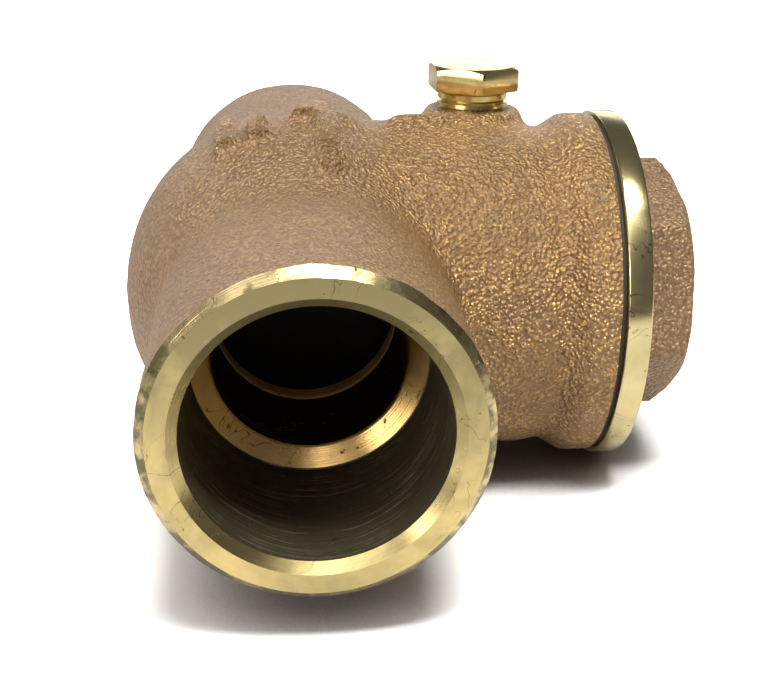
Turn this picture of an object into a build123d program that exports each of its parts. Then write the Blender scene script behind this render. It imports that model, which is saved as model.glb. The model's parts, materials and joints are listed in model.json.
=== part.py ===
"""Swing check valve for 1 inch copper tube, lying on its side as assembled in this model.

Frame, in millimetres: the run (flow) axis is +Y, from the inlet cup towards the outlet cup.
The cap axis is +X and the hinge pin stands along +Z.  The origin is the centre of the inlet
cup's tube stop, where the end of the inlet tube comes to rest.

Every sub-part is modelled about the crossing of the run axis and the cap axis, in a local
frame with the same directions, and is moved to the origin above when it is written.
"""

from build123d import *
import math
import os

# ---------------------------------------------------------------- driving dimensions

# solder cups
CUP_BORE_R = 14.325
CUP_DEPTH = 23.1
CUP_WALL = 4.275
CUP_MOUTH_CHAMFER = 1.3
CUP_RIM_CHAMFER = 1.1
STOP_R = 11.7
STOP_THICKNESS = 3.0
STOP_TO_CENTRE = 27.7

# body casting
BELLY_R = 23.5
BELLY_ARC_R = 38.0
BELLY_BLEND_R = 16.0
BELLY_WALL = 2.7
NECK_WALL = 2.7
CROTCH_FILLET = 5.0
BAND_WALL = 3.6
BAND_END = 38.5
BAND_LENGTH = 4.1
BAND_STEP = 2.4

# seat wall, across the inlet side of the chamber
SEAT_Y = -8.8
SEAT_LIP_HEIGHT = 0.8
SEAT_LIP_WIDTH = 1.3
SEAT_WALL_THICKNESS = 2.4
SEAT_WALL_TOP = 17.0
INLET_PASSAGE_R = 14.6

# hinge pin, its hole and its plug
PIN_X = 23.5
PIN_Y = 7.0
PIN_R = 2.38
PIN_HOLE_CLEARANCE = 0.05
PIN_SOCKET_DEPTH = 2.4
PIN_BOSS_R = 7.3
PIN_BOSS_TOP = 23.1
PIN_BOSS_ROUND = 0.9
PLUG_SHANK_R = 4.76
PLUG_HOLE_CLEARANCE = 0.03
PLUG_HOLE_DEPTH = 4.1
PLUG_COLLAR_HEIGHT = 2.6
PLUG_HEX_AF = 11.11
PLUG_HEX_HEIGHT = 3.2
PLUG_HEX_TURN = -26.7
PLUG_CORNER_ROUND = 0.7

# cap and its gasket
CAP_THREAD_R = 19.6
CAP_THREAD_STEP = 0.6
CAP_THREAD_CLEARANCE = 0.06
CAP_THREAD_LENGTH = 8.4
CAP_THREAD_PITCH = 2.117
CAP_SKIRT_WALL = 3.0
CAP_RELIEF_LENGTH = 1.6
CAP_RELIEF_DEPTH = 0.7
CAP_FLANGE_WIDTH = 3.97
CAP_FLANGE_THICKNESS = 3.2
CAP_FLANGE_CHAMFER = 0.35
CAP_HEX_AF = 29.8
CAP_HEX_HEIGHT = 8.0
CAP_HEX_TURN = -12.85
CAP_CORNER_DROP = 1.1
CAP_CROWN_THICKNESS = 4.0
GASKET_THICKNESS = 0.6
GASKET_WIDTH = 3.1

# disc, its holder and its fasteners
SEAT_GAP = 0.1
DISC_OVERLAP = 1.4
DISC_THICKNESS = 2.8
DISC_BORE_CLEARANCE = 0.05
HOLDER_RIM_WALL = 0.8
HOLDER_RIM_HEIGHT = 1.7
HOLDER_PLATE = 2.2
BACK_STUD_R = 3.0
HANGER_GAP = 0.3
HANGER_NUT_AF = 9.5
HANGER_NUT_HEIGHT = 3.0
WASHER_R = 5.6
WASHER_THICKNESS = 0.8
LOCK_PIN_R = 0.6
LOCK_PIN_LENGTH = 9.0
STUD_TIP = 2.2

# hanger (clapper arm)
HANGER_THICKNESS = 3.4
HANGER_EYE_R = 6.4
HANGER_EYE_CLEARANCE = 0.08
HANGER_ARM_WIDTH = 8.0
HANGER_KNUCKLE_WALL = 2.42
HANGER_KNUCKLE_LENGTH = 19.0
HANGER_PIN_CLEARANCE = 0.06

# ---------------------------------------------------------------- sizes that follow

END_Y = STOP_TO_CENTRE + CUP_DEPTH
CUP_OUTER_R = CUP_BORE_R + CUP_WALL
BELLY_ARC_CENTRE_R = BELLY_R - BELLY_ARC_R
NECK_BORE_R = CAP_THREAD_R - CAP_THREAD_STEP
NECK_R = NECK_BORE_R + NECK_WALL
BAND_R = CAP_THREAD_R + BAND_WALL
BAND_START = BAND_END - BAND_LENGTH
CAP_FLANGE_R = CAP_THREAD_R + CAP_FLANGE_WIDTH
GASKET_R = CAP_THREAD_R + GASKET_WIDTH
SEAT_LIP_R = STOP_R + SEAT_LIP_WIDTH
SEAT_WALL_Y = SEAT_Y - SEAT_LIP_HEIGHT
PIN_BOTTOM = -(math.sqrt(NECK_BORE_R**2 - PIN_Y**2) + PIN_SOCKET_DEPTH)
PLUG_HOLE_FLOOR = PIN_BOSS_TOP - PLUG_HOLE_DEPTH
PIN_TOP = PLUG_HOLE_FLOOR
GASKET_X = BAND_END
FLANGE_X = BAND_END + GASKET_THICKNESS
HEX_X = FLANGE_X + CAP_FLANGE_THICKNESS
DISC_R = STOP_R + DISC_OVERLAP
DISC_FACE_Y = SEAT_Y + SEAT_GAP
DISC_BACK_Y = DISC_FACE_Y + DISC_THICKNESS
HOLDER_BACK_Y = DISC_BACK_Y + HOLDER_PLATE
HOLDER_R = DISC_R + DISC_BORE_CLEARANCE + HOLDER_RIM_WALL
HANGER_KNUCKLE_R = PIN_R + HANGER_KNUCKLE_WALL
HANGER_Y = HOLDER_BACK_Y + HANGER_GAP
HANGER_BACK_Y = HANGER_Y + HANGER_THICKNESS
WASHER_Y = HANGER_BACK_Y + HANGER_GAP
NUT_Y = WASHER_Y + WASHER_THICKNESS
NUT_BACK_Y = NUT_Y + HANGER_NUT_HEIGHT
STUD_END_Y = NUT_BACK_Y + STUD_TIP

# ---------------------------------------------------------------- helpers


def rod_y(radius, y0, y1, x=0.0, z=0.0):
    """A cylinder along Y between two stations."""
    along = Plane(origin=(x, min(y0, y1), z), x_dir=(1, 0, 0), z_dir=(0, 1, 0))
    return extrude(along * Circle(radius), amount=abs(y1 - y0))


def rod_x(radius, x0, x1):
    """A cylinder on the cap axis between two stations."""
    along = Plane(origin=(min(x0, x1), 0, 0), x_dir=(0, 0, 1), z_dir=(1, 0, 0))
    return extrude(along * Circle(radius), amount=abs(x1 - x0))


def rod_z(radius, z0, z1, x=PIN_X, y=PIN_Y):
    """A cylinder parallel to the hinge pin between two heights."""
    return extrude(Plane(origin=(x, y, min(z0, z1))) * Circle(radius), amount=abs(z1 - z0))


def hex_prism(plane, across_flats, height, turn=0.0):
    """A hexagonal prism; its corners start at the plane's x direction, turned by the angle."""
    corner_r = across_flats / math.sqrt(3)
    return extrude(plane * RegularPolygon(corner_r, 6, rotation=turn), amount=height)


def hex_y(across_flats, y0, y1):
    """A hexagonal prism along Y."""
    base = Plane(origin=(0, min(y0, y1), 0), x_dir=(1, 0, 0), z_dir=(0, 1, 0))
    return hex_prism(base, across_flats, abs(y1 - y0))


def cone_y(r0, r1, y0, y1):
    """A cone frustum along Y, of radius r0 at y0 and r1 at y1."""
    outline = Polyline((0, y0), (r0, y0), (r1, y1), (0, y1), close=True)
    return revolve(make_face(outline), axis=Axis.Y)


def cone_x(r0, r1, x0, x1):
    """A cone frustum on the cap axis, of radius r0 at x0 and r1 at x1."""
    outline = Polyline((x0, 0), (x0, r0), (x1, r1), (x1, 0), close=True)
    return revolve(make_face(outline), axis=Axis.X)


# ---------------------------------------------------------------- body casting


def belly_arc_radius(arc_r, y):
    """The run's radius at a station on the belly's arc, or on the arc inside its wall."""
    return BELLY_ARC_CENTRE_R + math.sqrt(arc_r**2 - y**2)


def run_casting():
    """The barrel with its two cup ends and the round belly between, without its passages."""
    blend_centre_r = CUP_OUTER_R + BELLY_BLEND_R
    rise = blend_centre_r - BELLY_ARC_CENTRE_R
    reach = BELLY_ARC_R + BELLY_BLEND_R
    blend_y = math.sqrt(reach**2 - rise**2)
    meet_y = blend_y * BELLY_ARC_R / reach
    meet_r = belly_arc_radius(BELLY_ARC_R, meet_y)
    turn = math.atan2(blend_y, rise) / 2
    mid_y = blend_y - BELLY_BLEND_R * math.sin(turn)
    mid_r = blend_centre_r - BELLY_BLEND_R * math.cos(turn)
    rim_r = CUP_OUTER_R - CUP_RIM_CHAMFER
    rim_y = END_Y - CUP_RIM_CHAMFER
    outline = [
        Line((0, -END_Y), (rim_r, -END_Y)),
        Line((rim_r, -END_Y), (CUP_OUTER_R, -rim_y)),
        Line((CUP_OUTER_R, -rim_y), (CUP_OUTER_R, -blend_y)),
        ThreePointArc((CUP_OUTER_R, -blend_y), (mid_r, -mid_y), (meet_r, -meet_y)),
        ThreePointArc((meet_r, -meet_y), (BELLY_R, 0), (meet_r, meet_y)),
        ThreePointArc((meet_r, meet_y), (mid_r, mid_y), (CUP_OUTER_R, blend_y)),
        Line((CUP_OUTER_R, blend_y), (CUP_OUTER_R, rim_y)),
        Line((CUP_OUTER_R, rim_y), (rim_r, END_Y)),
        Line((rim_r, END_Y), (0, END_Y)),
        Line((0, END_Y), (0, -END_Y)),
    ]
    return revolve(make_face(outline), axis=Axis.Y)


def neck_casting():
    """The neck on the cap axis and the thicker band that takes the cap's thread."""
    shoulder = BAND_START - BAND_STEP
    outline = Polyline(
        (0, 0),
        (0, NECK_R),
        (shoulder, NECK_R),
        (BAND_START, BAND_R),
        (BAND_END, BAND_R),
        (BAND_END, 0),
        close=True,
    )
    return revolve(make_face(outline), axis=Axis.X)


def pin_boss():
    """The round pad under the hinge pin's plug."""
    boss = rod_z(PIN_BOSS_R, 0, PIN_BOSS_TOP)
    return fillet(boss.edges().group_by(Axis.Z)[-1], PIN_BOSS_ROUND)


def run_passages():
    """The cups, the tube stops and the water way through the seat, as one cutting solid."""
    mouth_r = CUP_BORE_R + CUP_MOUTH_CHAMFER
    cut = rod_y(STOP_R, -END_Y, END_Y)
    wall_front = SEAT_WALL_Y - SEAT_WALL_THICKNESS
    cut += rod_y(INLET_PASSAGE_R, STOP_THICKNESS - STOP_TO_CENTRE, wall_front)
    for side in (-1, 1):
        cut += rod_y(CUP_BORE_R, side * STOP_TO_CENTRE, side * END_Y)
        cut += cone_y(mouth_r, CUP_BORE_R, side * END_Y, side * (END_Y - CUP_MOUTH_CHAMFER))
    return cut


def chamber():
    """The hollow that the disc swings in, cut short at the seat wall and open to the cap."""
    inner_arc_r = BELLY_ARC_R - BELLY_WALL
    end_y = math.sqrt(inner_arc_r**2 - (CUP_BORE_R - BELLY_ARC_CENTRE_R) ** 2)
    outline = [
        Line((0, -end_y), (CUP_BORE_R, -end_y)),
        ThreePointArc((CUP_BORE_R, -end_y), (BELLY_R - BELLY_WALL, 0), (CUP_BORE_R, end_y)),
        Line((CUP_BORE_R, end_y), (0, end_y)),
        Line((0, end_y), (0, -end_y)),
    ]
    hollow = revolve(make_face(outline), axis=Axis.Y) + rod_x(NECK_BORE_R, 0, BAND_END)
    beyond = 2 * BELLY_R
    hollow -= Pos((SEAT_WALL_TOP - beyond) / 2, SEAT_WALL_Y - beyond / 2, 0) * Box(
        SEAT_WALL_TOP + beyond, beyond, 2 * beyond
    )
    return hollow - rod_y(SEAT_LIP_R, SEAT_Y, SEAT_WALL_Y)


def pin_and_plug_holes():
    """The hinge pin's hole through the boss, its blind socket opposite, and the plug's hole."""
    hole = rod_z(PIN_R + PIN_HOLE_CLEARANCE, PIN_BOTTOM, PIN_BOSS_TOP)
    return hole + rod_z(PLUG_SHANK_R + PLUG_HOLE_CLEARANCE, PLUG_HOLE_FLOOR, PIN_BOSS_TOP)


def make_body():
    """The cast body: run, belly, neck and boss, bored for tubes, disc, cap, pin and plug."""
    run = run_casting()
    neck = neck_casting()
    casting = run + neck
    crotch = [
        e
        for e in casting.edges()
        if e.geom_type not in (GeomType.CIRCLE, GeomType.LINE) and e.center().X > 0
    ]
    casting = fillet(crotch, CROTCH_FILLET)
    casting += pin_boss()
    casting -= run_passages() + chamber()
    casting -= rod_x(CAP_THREAD_R, BAND_END - CAP_THREAD_LENGTH, BAND_END)
    return casting - pin_and_plug_holes()


# ---------------------------------------------------------------- cap and gasket


def make_cap():
    """The cap: threaded skirt, turned flange and cast hexagon, hollow from the inside."""
    thread_r = CAP_THREAD_R - CAP_THREAD_CLEARANCE
    skirt_end = BAND_END - CAP_THREAD_LENGTH + GASKET_THICKNESS
    relief_end = FLANGE_X - CAP_RELIEF_LENGTH
    hex_plane = Plane(origin=(HEX_X, 0, 0), x_dir=(0, 0, 1), z_dir=(1, 0, 0))
    crown_x = HEX_X + CAP_HEX_HEIGHT
    hexagon = hex_prism(hex_plane, CAP_HEX_AF, CAP_HEX_HEIGHT, CAP_HEX_TURN)
    corner_r = CAP_HEX_AF / math.sqrt(3)
    edge_r = corner_r - CAP_CORNER_DROP / math.tan(math.radians(30))
    reach = corner_r + CAP_CORNER_DROP
    hexagon &= rod_x(reach, HEX_X, crown_x - CAP_CORNER_DROP) + cone_x(
        corner_r, edge_r, crown_x - CAP_CORNER_DROP, crown_x
    )
    flange = rod_x(CAP_FLANGE_R, FLANGE_X, HEX_X)
    flange = chamfer(flange.edges(), CAP_FLANGE_CHAMFER)
    cap = hexagon + flange + rod_x(thread_r, skirt_end, FLANGE_X)
    cap -= rod_x(thread_r, relief_end, FLANGE_X) - rod_x(
        thread_r - CAP_RELIEF_DEPTH, relief_end, FLANGE_X
    )
    hollow_r = thread_r - CAP_SKIRT_WALL
    dome_r = CAP_HEX_AF / 2 - CAP_SKIRT_WALL
    cap -= rod_x(hollow_r, skirt_end, FLANGE_X)
    return cap - cone_x(hollow_r, dome_r, FLANGE_X, crown_x - CAP_CROWN_THICKNESS)


def make_cap_gasket():
    """The flat fibre ring between the band and the cap's flange."""
    return rod_x(GASKET_R, GASKET_X, FLANGE_X) - rod_x(CAP_THREAD_R, GASKET_X, FLANGE_X)


# ---------------------------------------------------------------- hinge pin and plug


def make_hinge_pin():
    """The plain pin, standing in its socket with its top under the plug."""
    pin = rod_z(PIN_R, PIN_BOTTOM, PIN_TOP)
    return chamfer(pin.edges(), PIN_R / 6)


def make_hinge_pin_plug():
    """The brass plug: hexagon with rounded top corners, bare collar and threaded shank."""
    hex_z = PIN_BOSS_TOP + PLUG_COLLAR_HEIGHT
    top_z = hex_z + PLUG_HEX_HEIGHT
    base = Plane(origin=(PIN_X, PIN_Y, hex_z))
    hexagon = hex_prism(base, PLUG_HEX_AF, PLUG_HEX_HEIGHT, PLUG_HEX_TURN)
    corner_r = PLUG_HEX_AF / math.sqrt(3)
    dome = rod_z(corner_r, hex_z, top_z)
    hexagon &= chamfer(dome.edges().group_by(Axis.Z)[-1], PLUG_CORNER_ROUND)
    return hexagon + rod_z(PLUG_SHANK_R, PLUG_HOLE_FLOOR, hex_z)


# ---------------------------------------------------------------- disc assembly


def make_disc_hanger():
    """The swinging arm: knuckle on the hinge pin, arm, and eye round the disc's stud."""
    eye = rod_y(HANGER_EYE_R, HANGER_BACK_Y, HANGER_Y)
    knuckle = rod_z(HANGER_KNUCKLE_R, -HANGER_KNUCKLE_LENGTH / 2, HANGER_KNUCKLE_LENGTH / 2)
    arm_mid_y = (HANGER_BACK_Y + HANGER_Y) / 2
    arm = Pos(PIN_X / 2, arm_mid_y, 0) * Box(PIN_X, HANGER_THICKNESS, HANGER_ARM_WIDTH)
    web_end = PIN_X - HANGER_KNUCKLE_R / 2
    web_start = PIN_X - 2 * HANGER_KNUCKLE_R
    web_outline = Polyline(
        (web_start, HANGER_BACK_Y),
        (web_end, PIN_Y + HANGER_KNUCKLE_R / 2),
        (PIN_X, arm_mid_y),
        (web_start, arm_mid_y),
        close=True,
    )
    web = extrude(make_face(web_outline), amount=HANGER_ARM_WIDTH / 2, both=True)
    hanger = eye + arm + web + knuckle
    hanger -= rod_y(BACK_STUD_R + HANGER_EYE_CLEARANCE, HANGER_BACK_Y, HANGER_Y)
    half = HANGER_KNUCKLE_LENGTH / 2
    return hanger - rod_z(PIN_R + HANGER_PIN_CLEARANCE, -half, half)


def lock_pin_y():
    """The station of the lock pin, just behind the hanger nut."""
    return NUT_BACK_Y + LOCK_PIN_R


def make_disc_holder():
    """The bronze cup that carries the soft disc, with its stud through the hanger's eye."""
    rim_y = DISC_BACK_Y - HOLDER_RIM_HEIGHT
    holder = rod_y(HOLDER_R, HOLDER_BACK_Y, rim_y)
    holder = chamfer(holder.edges().group_by(Axis.Y)[-1], HOLDER_RIM_WALL / 2)
    holder -= rod_y(DISC_R + DISC_BORE_CLEARANCE, DISC_BACK_Y, rim_y)
    holder += rod_y(BACK_STUD_R, STUD_END_Y, HOLDER_BACK_Y)
    return holder - lock_pin_solid()


def lock_pin_solid():
    """The lock pin across the back stud."""
    half = LOCK_PIN_LENGTH / 2
    return rod_z(LOCK_PIN_R, -half, half, x=0, y=lock_pin_y())


def make_seat_disc():
    """The soft disc that closes on the seat lip, moulded into the holder's cup."""
    return rod_y(DISC_R, DISC_BACK_Y, DISC_FACE_Y)


def make_hanger_washer():
    """The washer between the hanger's eye and its nut."""
    washer = rod_y(WASHER_R, NUT_Y, WASHER_Y)
    return washer - rod_y(BACK_STUD_R, NUT_Y, WASHER_Y)


def make_hanger_nut():
    """The nut on the back stud, which leaves the disc free to turn in the hanger."""
    return hex_y(HANGER_NUT_AF, NUT_BACK_Y, NUT_Y) - rod_y(BACK_STUD_R, NUT_BACK_Y, NUT_Y)


# ---------------------------------------------------------------- writing the sub-parts

MAKERS = {
    "body": make_body,
    "cap": make_cap,
    "cap_gasket": make_cap_gasket,
    "hinge_pin": make_hinge_pin,
    "hinge_pin_plug": make_hinge_pin_plug,
    "disc_hanger": make_disc_hanger,
    "disc_holder": make_disc_holder,
    "seat_disc": make_seat_disc,
    "hanger_washer": make_hanger_washer,
    "hanger_nut": make_hanger_nut,
    "hanger_nut_lock_pin": lock_pin_solid,
}


def main():
    os.makedirs("parts", exist_ok=True)
    to_origin = Pos(0, STOP_TO_CENTRE, 0)
    for node, maker in MAKERS.items():
        export_step(to_origin * maker(), f"parts/{node}.step")


if __name__ == "__main__":
    main()
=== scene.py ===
"""A swing check valve for 1 inch copper tube: cast and machined pieces, finishes and studio."""

import json
import math

import bpy
from bpy.props import FloatProperty, FloatVectorProperty, IntProperty, PointerProperty
from mathutils import Matrix, Vector


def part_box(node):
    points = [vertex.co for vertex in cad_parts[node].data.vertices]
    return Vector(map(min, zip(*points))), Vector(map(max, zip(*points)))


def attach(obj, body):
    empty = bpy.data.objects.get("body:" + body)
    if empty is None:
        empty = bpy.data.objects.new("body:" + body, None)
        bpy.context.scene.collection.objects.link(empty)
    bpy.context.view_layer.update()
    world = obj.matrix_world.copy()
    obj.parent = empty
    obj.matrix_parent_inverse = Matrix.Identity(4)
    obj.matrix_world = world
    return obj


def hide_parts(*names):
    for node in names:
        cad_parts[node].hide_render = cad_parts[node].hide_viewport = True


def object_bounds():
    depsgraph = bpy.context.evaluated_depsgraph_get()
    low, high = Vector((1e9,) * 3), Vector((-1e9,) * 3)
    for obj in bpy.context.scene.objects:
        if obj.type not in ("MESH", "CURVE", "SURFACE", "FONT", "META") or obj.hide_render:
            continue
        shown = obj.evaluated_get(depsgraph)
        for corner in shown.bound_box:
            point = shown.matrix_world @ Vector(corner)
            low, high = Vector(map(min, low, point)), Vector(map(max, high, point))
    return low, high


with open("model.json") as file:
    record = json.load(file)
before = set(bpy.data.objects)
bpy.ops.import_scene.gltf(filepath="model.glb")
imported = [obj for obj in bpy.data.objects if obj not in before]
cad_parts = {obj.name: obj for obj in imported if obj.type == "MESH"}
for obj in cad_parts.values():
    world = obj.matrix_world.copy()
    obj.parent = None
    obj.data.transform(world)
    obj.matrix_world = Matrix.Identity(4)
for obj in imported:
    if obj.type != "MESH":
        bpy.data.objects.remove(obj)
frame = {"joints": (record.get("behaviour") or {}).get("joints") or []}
CAD_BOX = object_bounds()

bl_info = {
    "name": "Swing Check Valve",
    "version": (1, 0, 0),
    "blender": (4, 5, 0),
    "location": "View3D > Sidebar > Check Valve",
    "description": "Builds the cast body, cap, plug, disc and finishes of a swing check valve",
    "category": "Object",
}

MM = 0.001
AXIS_X = Vector((1, 0, 0))
AXIS_Y = Vector((0, 1, 0))
AXIS_Z = Vector((0, 0, 1))
HEX_CORNER = 2 / math.sqrt(3)
MERGE = 2e-7


def joint_named(name):
    """The packed record's joint of that name."""
    return next(j for j in frame["joints"] if j["name"] == name)


def run_end(side):
    """The station of the inlet end (side -1) or the outlet end (side 1) of the run."""
    low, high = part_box("body")
    return low.y if side < 0 else high.y


CENTRE_Y = (run_end(-1) + run_end(1)) / 2
CENTRE = (0, CENTRE_Y, 0)
HALF_RUN = (run_end(1) - run_end(-1)) / 2
PIN = Vector(joint_named("clapper_swing")["pos_m"])
GASKET_LOW, GASKET_HIGH = (corner.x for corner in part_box("cap_gasket"))
CAP_HIGH_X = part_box("cap")[1].x
FLANGE_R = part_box("cap")[1].z
PLUG_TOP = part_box("hinge_pin_plug")[1].z
PLUG_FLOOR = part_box("hinge_pin_plug")[0].z


# ---------------------------------------------------------------- sizes and colours to change


def length(name, description, default):
    """A length property, given in millimetres."""
    return FloatProperty(
        name=name, description=description, default=default * MM, unit="LENGTH", precision=5
    )


def colour(name, description, default):
    """A linear colour property."""
    return FloatVectorProperty(
        name=name, description=description, default=default, subtype="COLOR", min=0, max=1, size=3
    )


class BodySizes(bpy.types.PropertyGroup):
    """Sizes of the cast and machined body."""

    cup_outer: length("Cup radius", "Outside radius of the cast cup ends", 18.6)
    cup_bore: length("Cup bore", "Radius of the bore that takes the tube", 14.325)
    cup_depth: length("Cup depth", "From the cup's mouth to the tube stop", 23.1)
    stop_bore: length("Stop bore", "Radius of the water way through the tube stop", 11.7)
    stop_dish: length("Stop dish", "How much deeper the tube stop's inner edge lies than its outer one", 0.9)
    stop_width: length("Stop width", "Length of the tube stop along the run", 3.0)
    rim_chamfer: length("Rim chamfer", "Outer chamfer of the machined cup end", 1.0)
    mouth_chamfer: length("Mouth chamfer", "Inner chamfer of the machined cup end", 1.1)
    belly: length("Belly radius", "Largest radius of the belly", 23.45)
    belly_arc: length("Belly arc", "Radius of the belly's profile along the run", 38.0)
    belly_blend: length("Belly blend", "Radius of the hollow between belly and cup", 16.0)
    wall: length("Wall", "Thickness of the cast wall", 2.7)
    neck_root: length("Neck root", "Neck radius at the belly", 22.3)
    neck_waist: length("Neck waist", "Neck radius just before the band", 21.6)
    band: length("Band radius", "Radius of the band under the cap", 23.2)
    band_start: length("Band start", "Station where the band's shoulder begins", 32.9)
    band_rise: length("Band rise", "Length of the band's shoulder", 1.9)
    groove: length("Groove", "Half width of the groove between neck and band", 1.5)
    seat_station: length("Seat", "Station of the seat lip from the middle of the run", -8.8)
    seat_lip: length("Seat lip", "Height and width of the seat lip", 0.8)
    seat_top: length("Seat wall top", "How far the seat wall reaches towards the cap", 17.0)
    seat_wall: length("Seat wall", "Thickness of the wall that carries the seat", 2.4)
    inlet_passage: length("Inlet passage", "Radius of the cast passage before the seat", 14.6)
    thread: length("Thread radius", "Radius of the band's inner thread", 19.6)
    thread_length: length("Thread length", "Depth of the band's inner thread", 8.4)
    boss: length("Boss radius", "Radius of the pad under the plug", 6.9)
    boss_top: length("Boss top", "Height of the pad above the run's axis", 23.1)
    voxel: length("Casting cell", "Cell size of the casting's surface", 0.62)
    swell: length("Casting swell", "Depth of the casting's broad unevenness", 0.34)
    mark_height: length("Mark height", "How far the cast arrow and bars stand out", 1.6)


class CapSizes(bpy.types.PropertyGroup):
    """Sizes of the screwed cap."""

    flange_width: length("Flange width", "Length of the turned flange", 3.2)
    hex_flats: length("Hexagon", "Across the flats of the cast hexagon", 29.8)
    hex_turn: FloatProperty(
        name="Hexagon turn", description="How far the hexagon is turned from upright",
        default=math.radians(12.85), subtype="ANGLE",
    )
    hex_corner: length("Corner drop", "Depth of the chamfer on the hexagon's corners", 1.2)
    thread: length("Thread radius", "Crest radius of the cap's thread", 19.45)
    thread_length: length("Thread length", "Length of the cap's thread", 7.8)
    pitch: length("Pitch", "Pitch of the cap's thread", 2.117)
    skirt_wall: length("Skirt wall", "Wall of the threaded skirt", 3.0)


class PlugSizes(bpy.types.PropertyGroup):
    """Sizes of the hinge pin's plug."""

    hex_flats: length("Hexagon", "Across the flats of the plug", 11.11)
    hex_height: length("Head height", "Height of the hexagon", 3.2)
    collar: length("Collar radius", "Radius of the collar below the hexagon", 4.7)
    hex_turn: FloatProperty(
        name="Hexagon turn", description="How far the plug's corners are turned from +X",
        default=math.radians(-26.7), subtype="ANGLE",
    )


class DiscSizes(bpy.types.PropertyGroup):
    """Sizes of the clapper: arm, disc holder and fasteners."""

    arm_thickness: length("Arm thickness", "Thickness of the arm and its eye", 3.4)
    arm_width: length("Arm width", "Width of the arm", 8.0)
    stud: length("Stud", "Radius of the stud through the arm's eye", 3.0)
    plate: length("Holder plate", "Thickness of the holder behind the soft disc", 2.2)
    rim_height: length("Holder rim", "Height of the holder's rim round the soft disc", 1.7)


class Finishes(bpy.types.PropertyGroup):
    """Colours of the finishes."""

    cast_light: colour("Cast, light", "Dusty tops of the cast skin", (0.41, 0.262, 0.138))
    cast_dark: colour("Cast, dark", "Brown hollows of the cast skin", (0.20, 0.115, 0.06))
    cast_gold: colour("Cast, gold", "Rubbed grains of the cast skin", (0.72, 0.44, 0.155))
    brass: colour("Brass", "Freshly machined brass", (0.80, 0.655, 0.33))
    # this olive is also the colour of the painted shade on the upper part of the cup ends' faces
    brass_tarnish_and_shade: colour("Tarnish", "Olive tarnish on machined brass", (0.34, 0.28, 0.13))
    bore: colour("Bore", "Dark olive film in the cups", (0.115, 0.097, 0.056))
    steel: colour("Steel", "Stainless pins", (0.62, 0.61, 0.58))
    soft_disc: colour("Soft disc", "The soft rubber disc", (0.002, 0.002, 0.0024))
    fibre: colour("Fibre", "The cap's gasket", (0.028, 0.024, 0.02))


class StageSettings(bpy.types.PropertyGroup):
    """The studio."""

    lens: FloatProperty(name="Lens", description="Focal length in mm", default=61.67, min=10)
    camera_place: FloatVectorProperty(
        name="Camera", description="Where the camera stands", subtype="TRANSLATION",
        default=(-5.35 * MM, -146.72 * MM, 57.94 * MM),
    )
    camera_turn: FloatVectorProperty(
        name="Camera turn", description="How the camera is turned", subtype="EULER",
        default=(math.radians(68.891), math.radians(-1.067), math.radians(-5.409)),
    )
    key: FloatProperty(name="Key", description="Power of the large soft light", default=1.75)
    fill: FloatProperty(name="Fill", description="Strength of the surrounding light", default=0.4)
    floor_tint: FloatVectorProperty(
        name="Floor", description="Brightness of the plain pale floor", default=(1.95, 1.95, 1.95), size=3
    )
    bounce: FloatProperty(name="Bounce", description="Share of light the floor throws back up", default=0.4)
    segments: IntProperty(name="Segments", description="Steps round a turned piece", default=160)


# ---------------------------------------------------------------- mesh work


def deselect():
    """Leaves edit mode and deselects everything."""
    if bpy.context.mode != "OBJECT":
        bpy.ops.object.mode_set(mode="OBJECT")
    bpy.ops.object.select_all(action="DESELECT")


def pick(obj):
    """Makes one object the only selected and active one."""
    deselect()
    obj.select_set(True)
    bpy.context.view_layer.objects.active = obj
    return obj


def settle(obj, name):
    """Names a new object and moves its place, turn and scale into its mesh."""
    pick(obj)
    bpy.ops.object.transform_apply(location=True, rotation=True, scale=True)
    obj.name = name
    obj.data.name = name
    return obj


def clean(obj):
    """Merges doubles and turns all faces outwards."""
    pick(obj)
    bpy.ops.object.mode_set(mode="EDIT")
    bpy.ops.mesh.select_all(action="SELECT")
    bpy.ops.mesh.remove_doubles(threshold=MERGE)
    bpy.ops.mesh.normals_make_consistent(inside=False)
    bpy.ops.object.mode_set(mode="OBJECT")
    return obj


def drawn(name, points):
    """A line of points, extruded from one vertex, left in edit mode."""
    deselect()
    bpy.ops.mesh.primitive_plane_add(size=MM)
    obj = bpy.context.object
    obj.name = name
    bpy.ops.object.mode_set(mode="EDIT")
    bpy.ops.mesh.select_all(action="SELECT")
    bpy.ops.mesh.merge(type="CENTER")
    bpy.ops.transform.translate(value=points[0])
    for start, end in zip(points, points[1:]):
        bpy.ops.mesh.extrude_region_move(TRANSFORM_OT_translate={"value": end - start})
    return obj


def turned(name, outline, centre, axis, steps=0, turn=0.0):
    """A solid turned about an axis.  The outline is (station, radius) pairs in metres, stations
    counted along the axis from the centre.  A ring's outline ends where it starts.  Few steps make
    a prism, whose first corner is turned from +Z, or from +X about the Z axis, by an angle."""
    upright = AXIS_X if abs(axis.z) > 0.5 else AXIS_Z
    out = Matrix.Rotation(turn, 3, axis) @ upright
    centre = Vector(centre)
    points = [centre + axis * station + out * radius for station, radius in outline]
    obj = drawn(name, points)
    bpy.ops.mesh.select_all(action="SELECT")
    bpy.ops.mesh.spin(
        steps=steps or bpy.context.scene.valve_stage.segments,
        angle=math.tau, center=centre, axis=axis, use_auto_merge=True,
    )
    bpy.ops.object.mode_set(mode="OBJECT")
    return clean(settle(obj, name))


def rod(name, radius, low, high, centre, axis, steps=0, turn=0.0):
    """A round or prismatic rod between two stations along an axis."""
    outline = [(low, 0), (low, radius), (high, radius), (high, 0)]
    return turned(name, outline, centre, axis, steps, turn)


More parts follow.
